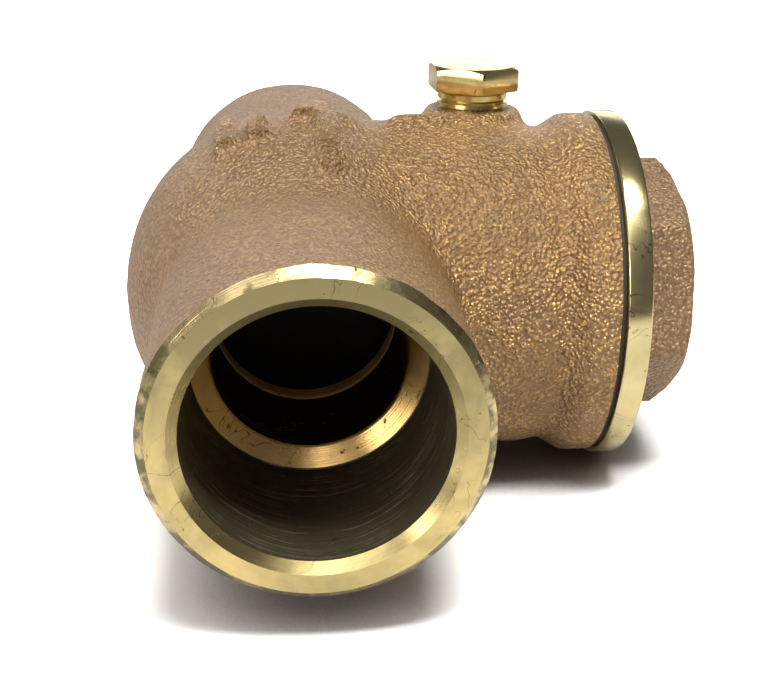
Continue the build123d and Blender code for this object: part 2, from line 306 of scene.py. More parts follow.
def hexagon(name, flats, low, high, centre, axis, turn=0.0, drop=0.0, both=False):
    """A hexagonal prism; drop chamfers the corners of its high end, or of both ends."""
    corner = flats / 2 * HEX_CORNER
    prism = rod(name, corner, low, high, centre, axis, 6, turn)
    if drop:
        inner = corner - drop * 2
        start = [(low, 0), (low, inner), (low + drop, corner)] if both else [(low, 0), (low, corner)]
        outline = start + [(high - drop, corner), (high, inner), (high, 0)]
        carve(prism, "INTERSECT", turned(name + "_chamfer", outline, centre, axis))
    return prism


def block(name, low, high):
    """A box between two corners."""
    deselect()
    low, high = Vector(low), Vector(high)
    bpy.ops.mesh.primitive_cube_add(size=1, location=(low + high) / 2, scale=high - low)
    return settle(bpy.context.object, name)


def apply(obj, kind, **settings):
    """Adds a modifier with its settings and applies it."""
    pick(obj)
    modifier = obj.modifiers.new(kind.lower(), kind)
    for key, value in settings.items():
        setattr(modifier, key, value)
    bpy.ops.object.modifier_apply(modifier=modifier.name)
    return obj


def carve(obj, operation, *others):
    """Joins, cuts or intersects with other solids, which are used up."""
    for other in others:
        apply(obj, "BOOLEAN", operation=operation, object=other, solver="EXACT")
        bpy.data.objects.remove(other)
    return obj


def joined(obj, *others):
    """Joins other meshes into one object as they are."""
    pick(obj)
    for other in others:
        other.select_set(True)
    bpy.ops.object.join()
    return obj


def bevelled(obj, width, angle=30, segments=2):
    """Rounds the edges that turn by more than an angle."""
    return apply(
        obj, "BEVEL", width=width, segments=segments, limit_method="ANGLE",
        angle_limit=math.radians(angle), harden_normals=False,
    )


def smoothed(obj, angle=32):
    """Smooth shading, with edges kept where the surface turns sharply."""
    pick(obj)
    bpy.ops.object.shade_smooth_by_angle(angle=math.radians(angle))
    return obj


def arc(centre_s, centre_r, radius, start, end, count):
    """Points on an arc of an outline, from one angle to another in degrees, both included."""
    step = (end - start) / (count - 1)
    angles = [math.radians(start + i * step) for i in range(count)]
    return [(centre_s + radius * math.sin(a), centre_r + radius * math.cos(a)) for a in angles]


def worn(obj, texture_name, cell, depth, weights=None):
    """Pushes the surface in and out by a cloudy pattern of a given cell and depth."""
    clouds = bpy.data.textures.new(texture_name, "CLOUDS")
    clouds.noise_scale = cell
    clouds.noise_depth = 2
    settings = {"texture": clouds, "texture_coords": "LOCAL", "strength": depth, "mid_level": 0.5}
    if weights:
        settings["vertex_group"] = weights
    return apply(obj, "DISPLACE", **settings)


def weighted(obj, name, weight_of):
    """A vertex group whose weights come from each vertex's place."""
    group = obj.vertex_groups.new(name=name)
    for vertex in obj.data.vertices:
        weight = weight_of(vertex.co)
        if weight > 0:
            group.add([vertex.index], min(weight, 1.0), "REPLACE")
    return group.name


def painted(obj, names, choose):
    """Gives the piece finishes by name; choose(centre, normal) names the one for each face."""
    obj.data.materials.clear()
    for name in names:
        obj.data.materials.append(bpy.data.materials[name])
    for face in obj.data.polygons:
        face.material_index = names.index(choose(face.center, face.normal))
    return obj


def plain(obj, name):
    """Gives the whole piece one finish."""
    return painted(obj, (name,), lambda spot, normal: name)


def place(obj, body, slot, *nodes):
    """Rides the piece on its body and hides the CAD nodes it stands for; the slot is not used."""
    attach(obj, body)
    if nodes:
        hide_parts(*nodes)
    return obj


def threaded(name, centre, axis, low, high, crest, depth, pitch, steps=96):
    """A solid rod with a helical thread between two stations."""
    turns = math.ceil((high - low) / pitch) + 2
    out = AXIS_X if abs(axis.z) > 0.5 else AXIS_Z
    start = low - pitch
    shape = ((0, 0), (0.12, 0), (0.44, 1), (0.56, 1), (0.88, 0), (1, 0))
    points = [
        axis * (start + share * pitch) + out * (crest - depth + rise * depth) for share, rise in shape
    ]
    obj = drawn(name, points)
    bpy.ops.object.mode_set(mode="OBJECT")
    settle(obj, name)
    letter = "XYZ"[[AXIS_X, AXIS_Y, AXIS_Z].index(axis)]
    apply(
        obj, "SCREW", axis=letter, angle=math.tau, screw_offset=pitch, iterations=turns,
        steps=steps, render_steps=steps, use_merge_vertices=True, merge_threshold=MERGE,
    )
    pick(obj)
    bpy.ops.object.mode_set(mode="EDIT")
    for station, outer in ((low, False), (high, True)):
        bpy.ops.mesh.select_all(action="SELECT")
        bpy.ops.mesh.bisect(
            plane_co=axis * station, plane_no=axis, use_fill=True, threshold=MERGE,
            clear_outer=outer, clear_inner=not outer,
        )
    bpy.ops.mesh.select_all(action="SELECT")
    bpy.ops.transform.translate(value=Vector(centre))
    bpy.ops.object.mode_set(mode="OBJECT")
    return clean(settle(obj, name))


# ---------------------------------------------------------------- finishes


class Graph:
    """A short way to write a node tree: add nodes, set their inputs and link them."""

    def __init__(self, tree):
        self.tree = tree
        self.column = 0

    def add(self, kind, inputs=None, **settings):
        """Adds a node; inputs map socket names or numbers to values or to other sockets."""
        node = self.tree.nodes.new(kind)
        node.location = (self.column, 0)
        self.column += 180
        for key, value in settings.items():
            setattr(node, key, value)
        for key, value in (inputs or {}).items():
            if isinstance(value, bpy.types.NodeSocket):
                self.tree.links.new(value, node.inputs[key])
            else:
                node.inputs[key].default_value = value
        return node

    def math(self, operation, a, b=0.0, clamp=False):
        """A Math node's output."""
        return self.add("ShaderNodeMath", {0: a, 1: b}, operation=operation, use_clamp=clamp).outputs[0]

    def times(self, a, b, clamp=False):
        """The product of two values."""
        return self.math("MULTIPLY", a, b, clamp)

    def plus(self, a, b, clamp=False):
        """The sum of two values."""
        return self.math("ADD", a, b, clamp)

    def minus(self, a, b, clamp=False):
        """The first value less the second."""
        return self.math("SUBTRACT", a, b, clamp)

    def ramp(self, value, *stops):
        """A value or colour ramp; stops are (position, colour or grey)."""
        node = self.add("ShaderNodeValToRGB", {"Fac": value})
        elements = node.color_ramp.elements
        while len(elements) < len(stops):
            elements.new(0.5)
        for element, (position, shade) in zip(elements, stops):
            element.position = position
            element.color = (shade, shade, shade, 1) if isinstance(shade, (int, float)) else (*shade, 1)
        return node.outputs["Color"]

    def mix(self, factor, a, b, blend="MIX"):
        """A colour mix."""
        node = self.add("ShaderNodeMix", data_type="RGBA", blend_type=blend)
        for socket, value in ((0, factor), (6, a), (7, b)):
            if isinstance(value, bpy.types.NodeSocket):
                self.tree.links.new(value, node.inputs[socket])
            elif socket == 0:
                node.inputs[socket].default_value = value
            else:
                node.inputs[socket].default_value = (*value, 1)
        return node.outputs[2]

    def noise(self, place, scale, detail=3.0, rough=0.55, warp=0.0):
        """A noise texture's value."""
        inputs = {"Vector": place, "Scale": scale, "Detail": detail, "Roughness": rough, "Distortion": warp}
        return self.add("ShaderNodeTexNoise", inputs).outputs["Fac"]


def new_group(name, inputs, outputs):
    """A shader node group with named sockets; returns it with its graph and input sockets."""
    group = bpy.data.node_groups.new(name, "ShaderNodeTree")
    kinds = {"value": "NodeSocketFloat", "colour": "NodeSocketColor", "vector": "NodeSocketVector"}
    for side, sockets in (("INPUT", inputs), ("OUTPUT", outputs)):
        for socket_name, kind in sockets.items():
            group.interface.new_socket(socket_name, in_out=side, socket_type=kinds[kind])
    graph = Graph(group)
    return group, graph, graph.add("NodeGroupInput").outputs


def sand_cast_group():
    """The skin that a sand mould leaves: packed grains, pits, rubbed tops and stains."""
    colours = {"Light": "colour", "Dark": "colour", "Gold": "colour"}
    group, g, sockets = new_group(
        "sand cast skin", {"Place": "vector", **colours, "Rub": "value"},
        {"Colour": "colour", "Roughness": "value", "Metallic": "value", "Height": "value"},
    )
    place, rub = sockets["Place"], sockets["Rub"]
    grains = g.add(
        "ShaderNodeTexVoronoi", {"Vector": place, "Scale": 2100.0, "Smoothness": 0.45}, feature="SMOOTH_F1"
    ).outputs["Distance"]
    fine = g.noise(place, 1900.0, 4.0, 0.66)
    lumps = g.noise(place, 900.0, 3.0, 0.55, 0.3)
    broad = g.noise(place, 70.0, 4.0, 0.62, 0.3)
    patch = g.noise(place, 170.0, 3.0, 0.6)
    pits = g.ramp(g.noise(place, 1500.0, 2.0, 0.5), (0.24, 1.0), (0.31, 0.0))
    tops = g.minus(1.0, grains, clamp=True)
    height = g.plus(g.times(tops, 1.5), g.times(fine, 0.9))
    height = g.plus(height, g.times(lumps, 1.1))
    height = g.minus(height, g.times(pits, 0.7))
    tone = g.ramp(broad, (0.36, 0.0), (0.64, 1.0))
    browner = g.mix(0.45, sockets["Light"], sockets["Dark"])
    even = g.mix(g.times(tone, 0.5), sockets["Light"], browner)
    grain = g.plus(g.times(tops, 0.4), g.plus(fine, g.times(lumps, 0.3)))
    hollow = g.ramp(grain, (0.74, 1.0), (0.98, 0.0))
    shaded = g.mix(g.times(hollow, 0.75), even, sockets["Dark"])
    shaded = g.mix(g.times(rub, 0.35), shaded, sockets["Dark"])
    crest = g.ramp(grain, (0.90, 0.0), (1.0, 1.0))
    worn_off = g.times(g.plus(crest, 0.2, clamp=True), rub)
    rubbed = g.times(worn_off, g.ramp(patch, (0.30, 0.55), (0.58, 1.0)))
    golden = g.mix(rubbed, shaded, sockets["Gold"])
    green = g.ramp(g.noise(place, 230.0, 2.0, 0.5), (0.69, 0.0), (0.76, 1.0))
    stained = g.mix(g.times(green, 0.4), golden, (0.20, 0.215, 0.14))
    spotted = g.mix(g.times(pits, 0.65), stained, (0.07, 0.038, 0.02))
    dusty = g.plus(0.40, g.times(patch, 0.16))
    rough = g.minus(dusty, g.times(rubbed, 0.17))
    metal = g.plus(0.50, g.times(rubbed, 0.5), clamp=True)
    out = {"Colour": spotted, "Roughness": rough, "Metallic": metal, "Height": height}
    g.add("NodeGroupOutput", out)
    return group


def turning_group():
    """Lathe work round an axis: fine rings, faint scratches, stains and a tarnish."""
    group, g, sockets = new_group(
        "lathe finish",
        {"Place": "vector", "Across": "value", "Rings": "value", "Fresh": "colour", "Old": "colour",
         "Age": "value"},
        {"Colour": "colour", "Roughness": "value", "Height": "value"},
    )
    place = sockets["Place"]
    ring_place = g.add("ShaderNodeCombineXYZ", {0: g.times(sockets["Across"], sockets["Rings"])})
    rings = g.noise(ring_place.outputs[0], 1.0, 4.0, 0.75)
    wobble = g.noise(place, 420.0, 2.0, 0.5)
    rings = g.plus(g.times(rings, 0.8), g.times(wobble, 0.2))
    cloud = g.noise(place, 95.0, 4.0, 0.62, 0.6)
    film = g.plus(g.ramp(cloud, (0.42, 0.0), (0.72, 0.75)), sockets["Age"], clamp=True)
    edge = g.ramp(g.noise(place, 130.0, 3.0, 0.6, 1.2), (0.492, 0.0), (0.50, 1.0), (0.508, 0.0))
    edge = g.times(edge, g.ramp(g.noise(place, 85.0, 1.0), (0.50, 0.0), (0.58, 0.85)))
    nicks = g.ramp(g.noise(place, 900.0, 2.0, 0.5), (0.24, 1.0), (0.29, 0.0))
    brushed = g.mix(g.ramp(rings, (0.35, 0.35), (0.7, 0.0)), sockets["Fresh"], sockets["Old"])
    aged = g.mix(film, brushed, sockets["Old"])
    marked = g.mix(g.math("MAXIMUM", edge, g.times(nicks, 0.8)), aged, (0.045, 0.035, 0.02))
    filmed = g.plus(0.10, g.times(film, 0.18))
    rough = g.plus(filmed, g.times(rings, 0.14))
    height = g.minus(rings, g.times(nicks, 1.2))
    g.add("NodeGroupOutput", {"Colour": marked, "Roughness": rough, "Height": height})
    return group


class FinishShop:
    """Makes each finish once and hands it out."""

    def __init__(self, settings):
        self.settings = settings
        self.made = {}
        self.cast = sand_cast_group()
        self.lathe = turning_group()

    def start(self, name, specular=0.5):
        """A material with its graph, Principled shader and the object coordinates."""
        material = bpy.data.materials.new(name)
        material.use_nodes = True
        material.node_tree.nodes.clear()
        g = Graph(material.node_tree)
        place = g.add("ShaderNodeTexCoord").outputs["Object"]
        shader = g.add("ShaderNodeBsdfPrincipled")
        shader.inputs["Specular IOR Level"].default_value = specular
        g.add("ShaderNodeOutputMaterial", {"Surface": shader.outputs[0]})
        self.made[name] = material
        return g, place, shader

    def finish(self, g, shader, colour_out, roughness, metallic, height=None, depth=0.0001, strength=1.0):
        """Links the finish to the shader, with its relief through a Bump node."""
        for socket, value in (("Base Color", colour_out), ("Roughness", roughness), ("Metallic", metallic)):
            if isinstance(value, bpy.types.NodeSocket):
                g.tree.links.new(value, shader.inputs[socket])
            elif isinstance(value, float):
                shader.inputs[socket].default_value = value
            else:
                shader.inputs[socket].default_value = (*value, 1)
        if height is not None:
            bump = g.add("ShaderNodeBump", {"Strength": strength, "Distance": depth, "Height": height})
            g.tree.links.new(bump.outputs[0], shader.inputs["Normal"])

    def cast_bronze(self, name, depth, rub, rub_from=None, shade=1.0):
        """Sand-cast bronze, rubbed by an even amount or more and more along the cap's axis; a shade below one
        darkens all its colours, as painted shade.
        """
        s = self.settings
        g, place, shader = self.start(name)
        skin = g.add("ShaderNodeGroup", node_tree=self.cast)
        g.tree.links.new(place, skin.inputs["Place"])
        for socket, value in (("Light", s.cast_light), ("Dark", s.cast_dark), ("Gold", s.cast_gold)):
            skin.inputs[socket].default_value = (*[shade * c for c in value], 1)
        skin.inputs["Rub"].default_value = rub
        if rub_from:
            station = g.add("ShaderNodeSeparateXYZ", {0: place}).outputs["X"]
            span = {"Value": station, "From Min": rub_from[0], "From Max": rub_from[1], "To Min": rub_from[2]}
            more = g.add("ShaderNodeMapRange", {**span, "To Max": rub}, interpolation_type="SMOOTHSTEP")
            g.tree.links.new(more.outputs[0], skin.inputs["Rub"])
        out = skin.outputs
        self.finish(g, shader, out["Colour"], out["Roughness"], out["Metallic"], out["Height"], depth, 0.9)
        return self.made[name]

    def machined(self, name, fresh, old, rings, across, age=0.0, depth=0.00002, tarnish=None, metallic=1.0):
        """Turned or milled brass.  across is the axis the rings run round or along."""
        g, place, shader = self.start(name)
        lathe = g.add("ShaderNodeGroup", node_tree=self.lathe)
        g.tree.links.new(place, lathe.inputs["Place"])
        g.tree.links.new(across(g, place), lathe.inputs["Across"])
        lathe.inputs["Rings"].default_value = rings
        lathe.inputs["Fresh"].default_value = (*fresh, 1)
        lathe.inputs["Old"].default_value = (*old, 1)
        lathe.inputs["Age"].default_value = age
        if tarnish:
            g.tree.links.new(tarnish(g, place), lathe.inputs["Age"])
        out = lathe.outputs
        self.finish(g, shader, out["Colour"], out["Roughness"], metallic, out["Height"], depth, 0.8)
        return self.made[name]


def around(centre, axis):
    """The distance from an axis, as a node graph function."""

    def across(g, place):
        moved = g.add("ShaderNodeVectorMath", {0: place, 1: tuple(centre)}, operation="SUBTRACT").outputs[0]
        flat = tuple(0.0 if abs(a) > 0.5 else 1.0 for a in axis)
        kept = g.add("ShaderNodeVectorMath", {0: moved, 1: flat}, operation="MULTIPLY").outputs[0]
        return g.add("ShaderNodeVectorMath", {0: kept}, operation="LENGTH").outputs["Value"]

    return across


def along(axis):
    """The station along an axis, as a node graph function."""

    def across(g, place):
        dot = g.add("ShaderNodeVectorMath", {0: place, 1: tuple(axis)}, operation="DOT_PRODUCT")
        return dot.outputs["Value"]

    return across


def painted_upper_shade(low, high, most):
    """Painted shade: an olive film that thickens with height, broken up by a cloudy pattern, standing in for
    the darker reflection on the upper faces.
    """

    def age(g, place):
        height = g.add("ShaderNodeSeparateXYZ", {0: place}).outputs["Z"]
        share = g.add(
            "ShaderNodeMapRange", {"Value": height, "From Min": low, "From Max": high, "To Max": most}
        ).outputs[0]
        broken = g.times(g.minus(g.noise(place, 120.0), 0.5), 0.5)
        return g.plus(share, broken, clamp=True)

    return age


def patches(scale, most):
    """Tarnish in patches, as on an edge that has been knocked about."""

    def age(g, place):
        broad = g.minus(g.noise(place, scale, 3.0, 0.6), 0.42)
        return g.times(broad, 4 * most, clamp=True)

    return age


def tool_marks(scale):
    """A film that is scored through along the rings a boring tool leaves."""

    def age(g, place):
        station = g.times(g.add("ShaderNodeSeparateXYZ", {0: place}).outputs["Y"], scale)
        wander = g.times(g.noise(place, 90.0, 2.0), 2.5)
        line_place = g.add("ShaderNodeCombineXYZ", {0: g.plus(station, wander)}).outputs[0]
        lines = g.noise(line_place, 1.0, 3.0, 0.8)
        broken = g.ramp(g.noise(place, 150.0, 3.0, 0.6), (0.40, 0.25), (0.62, 1.0))
        scored = g.times(g.ramp(lines, (0.46, 0.0), (0.60, 1.0)), broken)
        return g.minus(1.0, scored, clamp=True)

    return age


def make_finishes(s):
    """All finishes of the valve, by name."""
    shop = FinishShop(s)
    shop.cast_bronze("cast_bronze", 0.00034, 1.0, (2 * MM, 15 * MM, 0.24))
    # painted shade: the raised marks take a copy of the cast bronze darkened to 0.85
    shop.cast_bronze("cast_mark", 0.0005, 1.0, None, 0.85)
    shop.cast_bronze("cast_cap", 0.0002, 0.14)
    # painted shade: a copy of the cast bronze darkened to 0.3 for the faces inside the valve
    shop.cast_bronze("cast_inside", 0.0002, 0.1, None, 0.3)
    shop.machined("disc_bronze", (0.66, 0.48, 0.24), (0.33, 0.22, 0.10), 2600.0, along(AXIS_X), 0.15)
    # painted shade: the cup ends' machined faces darken to olive towards the top, standing in for a darker
    # reflection there
    shop.machined(
        "machined_ring", (0.84, 0.63, 0.26), s.brass_tarnish_and_shade, 5200.0, around(CENTRE, AXIS_Y), depth=0.000012,
        tarnish=painted_upper_shade(-6 * MM, 15 * MM, 1.0),
    )
    shop.machined(
        "worn_rim", (0.92, 0.70, 0.34), (0.19, 0.16, 0.08), 900.0, around(CENTRE, AXIS_Y), depth=0.0003,
        tarnish=patches(330.0, 1.6),
    )
    shop.machined(
        "cup_bore", (0.46, 0.40, 0.27), s.bore, 1700.0, along(AXIS_Y), 0.0, 0.00022,
        tarnish=tool_marks(1500.0), metallic=0.7,
    )
    shop.machined(
        "stop_ring", (0.86, 0.54, 0.20), (0.50, 0.29, 0.10), 3000.0, around(CENTRE, AXIS_Y), depth=0.00004
    )
    shop.machined(
        "seat_lip", (1.0, 0.70, 0.34), (0.6, 0.4, 0.17), 3000.0, around(CENTRE, AXIS_Y), depth=0.00003,
        metallic=0.3,
    )
    shop.machined("flange_brass", s.brass, (0.42, 0.36, 0.17), 4200.0, along(AXIS_X), 0.0, 0.00001)
    shop.machined("plug_brass", (0.83, 0.66, 0.29), (0.44, 0.35, 0.13), 2600.0, along(AXIS_Z), 0.0, 0.00001)
    shop.machined("thread_brass", (0.66, 0.50, 0.25), (0.30, 0.22, 0.10), 2500.0, along(AXIS_Y), 0.2)
    shop.machined("steel", s.steel, (0.33, 0.32, 0.30), 3200.0, along(AXIS_Z), 0.1, 0.00001)
    g, place, shader = shop.start("soft_disc", 0.12)
    speckle = g.noise(place, 900.0, 3.0)
    tone = g.mix(g.ramp(g.noise(place, 140.0), (0.4, 0.0), (0.7, 0.6)), s.soft_disc, (0.006, 0.0055, 0.005))
    rough = g.plus(0.38, g.times(speckle, 0.15))
    shop.finish(g, shader, tone, rough, 0.0, speckle, 0.00003)
    g, place, shader = shop.start("fibre", 0.3)
    strands = g.noise(place, 1600.0, 4.0, 0.7, 1.5)
    tone = g.mix(strands, s.fibre, (0.075, 0.06, 0.045))
    rough = g.plus(0.62, g.times(strands, 0.25))
    shop.finish(g, shader, tone, rough, 0.0, strands, 0.00006)
    return shop.made


# ---------------------------------------------------------------- pieces


def belly_centre_r(s):
    """The radius at which the belly arc's centre lies, on the far side of the run's axis."""
    return s.belly - s.belly_arc


def run_radius(s, station):
    """The casting's radius at a station of the run."""
    rise = s.cup_outer + s.belly_blend - belly_centre_r(s)
    reach = s.belly_arc + s.belly_blend
    blend = math.sqrt(reach**2 - rise**2)
    station = abs(station)
    if station < blend * s.belly_arc / reach:
        return belly_centre_r(s) + math.sqrt(s.belly_arc**2 - station**2)
    if station < blend:
        return s.cup_outer + s.belly_blend - math.sqrt(s.belly_blend**2 - (station - blend) ** 2)
    return s.cup_outer


def run_outline(s, low, high, grow=0.0, count=48):
    """The casting's outline between two stations of the run."""
    stations = [low + (high - low) * i / count for i in range(count + 1)]
    return [(low, 0)] + [(p, run_radius(s, p) + grow) for p in stations] + [(high, 0)]


def neck_radius(s, station):
    """The casting's radius at a station of the neck."""
    if station < s.band_start:
        share = min(max(station / s.band_start, 0), 1)
        dip = max(0.0, 1 - abs(s.band_start - station - s.groove) / s.groove)
        return s.neck_root + (s.neck_waist - s.neck_root) * share**2 - s.groove * dip / 3
    share = min((station - s.band_start) / s.band_rise, 1)
    ease = share * share * (3 - 2 * share)
    return s.neck_waist + (s.band - s.neck_waist) * ease


def neck_outline(s, high, grow=0.0, count=36):
    """The casting's outline from the middle of the run to the band's end."""
    stations = [high * i / count for i in range(count + 1)]
    return [(0, 0)] + [(p, neck_radius(s, p) + grow) for p in stations] + [(high, 0)]


def cast_marks(s):
    """The flow arrow and the plain bars that stand out from the casting."""
    deselect()
    top = s.belly + 2 * s.mark_height
    low, high = s.cup_outer * 0.6, top
    y = CENTRE_Y
    shaft = block("arrow", (1.6 * MM, y - 17 * MM, low), (4.6 * MM, y - 2 * MM, high))
    head_at = (3.1 * MM, y - 0.5 * MM, (low + high) / 2)
    bpy.ops.mesh.primitive_cylinder_add(
        vertices=3, radius=5.4 * MM, depth=high - low, location=head_at, rotation=(0, 0, 0)
    )
    head = settle(bpy.context.object, "arrow_head")
    carve(shaft, "UNION", head)
    bars = [
        block("bar", (-11.2 * MM, y - 9 * MM, low), (-9.0 * MM, y + 3 * MM, high)),
        block("bar", (-7.0 * MM, y - 9 * MM, low), (-4.8 * MM, y - 3 * MM, high)),
    ]
    skin = turned("skin", run_outline(s, -20 * MM, 20 * MM, s.mark_height), (0, y, 0), AXIS_Y)
    marks = carve(joined(shaft, *bars), "INTERSECT", skin)
    neck_bar = block("bar", (11.5 * MM, y - 1.8 * MM, low), (18.6 * MM, y + 0.8 * MM, high))
    skin = turned("skin", neck_outline(s, s.band_start, s.mark_height), (0, y, 0), AXIS_X)
    return joined(marks, carve(neck_bar, "INTERSECT", skin))


def plug_boss(s):
    """The pad that the hinge pin's plug screws into."""
    edge = 1.1 * MM
    outline = [(8 * MM, 0), (8 * MM, s.boss + 1.2 * MM), (s.boss_top - 3.2 * MM, s.boss + 0.5 * MM)]
    outline += arc(s.boss_top - edge, s.boss - edge, edge, 0, 90, 6)
    outline += [(s.boss_top, 0)]
    return turned("boss", outline, (PIN.x, PIN.y, 0), AXIS_Z, 72)


def core(s):
    """The sand core: the hollow as it is cast, before any machining."""
    inner = s.belly_arc - s.wall
    passage = s.cup_bore - 0.6 * MM
    c0 = belly_centre_r(s)
    end = math.sqrt(inner**2 - (passage - c0) ** 2)
    wall = s.seat_station - s.seat_lip
    stations = [wall + (end - wall) * i / 24 for i in range(25)]
    stop_inner = HALF_RUN - s.cup_depth - s.stop_width
    outline = [(wall, 0)] + [(p, c0 + math.sqrt(inner**2 - p**2)) for p in stations]
    outline += [(stop_inner, passage), (stop_inner, 0)]
    hollow = turned("core", outline, CENTRE, AXIS_Y, 96)
    neck_bore = neck_radius(s, 0) - s.wall - 0.6 * MM
    neck_core = rod("neck_core", neck_bore, 0, GASKET_LOW + 3 * MM, CENTRE, AXIS_X, 96)
    far = 2 * s.belly
    seat_block = block("seat", (-far, CENTRE_Y - far, -far), (s.seat_top, CENTRE_Y + wall, far))
    carve(neck_core, "DIFFERENCE", seat_block)
    inlet = [(-stop_inner, 0), (-stop_inner, s.inlet_passage - MM), (MM - stop_inner, s.inlet_passage)]
    front = wall - s.seat_wall
    inlet += [(front - MM, s.inlet_passage), (front, s.inlet_passage - MM), (front, 0)]
    carve(hollow, "UNION", neck_core)
    return joined(hollow, turned("inlet_core", inlet, CENTRE, AXIS_Y, 96))


def soften_corners(s, obj):
    """Runs the casting's inner corners into each other, as a pattern maker's fillets do."""

    def crotch(p):
        run_gap = abs(math.hypot(p.x, p.z) - run_radius(s, p.y - CENTRE_Y))
        neck_gap = abs(math.hypot(p.y - CENTRE_Y, p.z) - neck_radius(s, p.x))
        return 1.3 - max(run_gap, neck_gap) / (5.5 * MM) if p.x > 4 * MM else 0

    def boss_root(p):
        away = abs(math.hypot(p.x - PIN.x, p.y - PIN.y) - s.boss)
        return 1.2 - away / (2.6 * MM) if 17 * MM < p.z < s.boss_top - 0.9 * MM else 0

    for name, weight_of, rounds in (("crotch", crotch, 60), ("boss_root", boss_root, 14)):
        group = weighted(obj, name, weight_of)
        apply(obj, "SMOOTH", factor=0.5, iterations=rounds, vertex_group=group)
    obj.vertex_groups.clear()
    return obj


def casting(s):
    """The rough casting: run, neck, boss and marks with the cored hollow."""
    stock = HALF_RUN + 1.2 * MM
    rough = turned("body", run_outline(s, -stock, stock, 0.0, 64), CENTRE, AXIS_Y)
    neck = turned("neck", neck_outline(s, GASKET_LOW + 0.8 * MM), CENTRE, AXIS_X)
    carve(rough, "UNION", neck, plug_boss(s))
    carve(rough, "DIFFERENCE", core(s))
    joined(rough, cast_marks(s))
    apply(rough, "REMESH", mode="VOXEL", voxel_size=s.voxel, use_smooth_shade=True)
    apply(rough, "SMOOTH", factor=0.5, iterations=5)
    soften_corners(s, rough)
    worn(rough, "casting_swell", 8 * MM, s.swell)
    return worn(rough, "casting_ripple", 2.2 * MM, s.swell * 0.35)


def end_facing(s, side):
    """What the lathe takes off one cup end: the face and the outer chamfer."""
    rim = s.cup_outer - s.rim_chamfer
    reach = s.rim_chamfer * 2.2
    far, past = s.cup_outer * 1.5, HALF_RUN + 5 * MM
    outline = [(HALF_RUN, 0), (HALF_RUN, rim), (HALF_RUN - reach, rim + reach), (HALF_RUN - reach, far)]
    outline += [(past, far), (past, 0)]
    return turned("facing", outline, CENTRE, AXIS_Y * side)


def water_way(s, side, inner, countersink=None):
    """What the boring tools take out from one end: mouth, cup, tube stop and the way inside."""
    stop = HALF_RUN - s.cup_depth
    edge = 0.35 * MM
    mouth = s.cup_bore + s.mouth_chamfer
    outline = [(inner, 0), (inner, s.stop_bore + edge), (inner + edge, s.stop_bore)]
    if countersink:
        cone, past = 0.9 * MM, countersink + 0.3 * MM
        outline += [(past - cone, s.stop_bore), (past, s.stop_bore + cone), (past, s.stop_bore)]
    outline += [
        (stop - s.stop_dish - edge, s.stop_bore), (stop - s.stop_dish, s.stop_bore + edge),
        (stop, s.cup_bore - edge / 2), (stop + edge / 2, s.cup_bore),
        (HALF_RUN - s.mouth_chamfer, s.cup_bore), (HALF_RUN, mouth),
        (HALF_RUN + MM, mouth), (HALF_RUN + MM, 0),
    ]
    return turned("water_way", outline, CENTRE, AXIS_Y * side)


def seat_ring(s):
    """The raised lip that the disc closes on."""
    outer, edge = s.stop_bore + 1.3 * MM, 0.25 * MM
    low, high = s.seat_station - 2 * s.seat_lip, s.seat_station
    outline = [(low, 0), (low, outer), (high - edge, outer), (high, outer - edge), (high, 0)]
    return turned("seat_ring", outline, CENTRE, AXIS_Y)


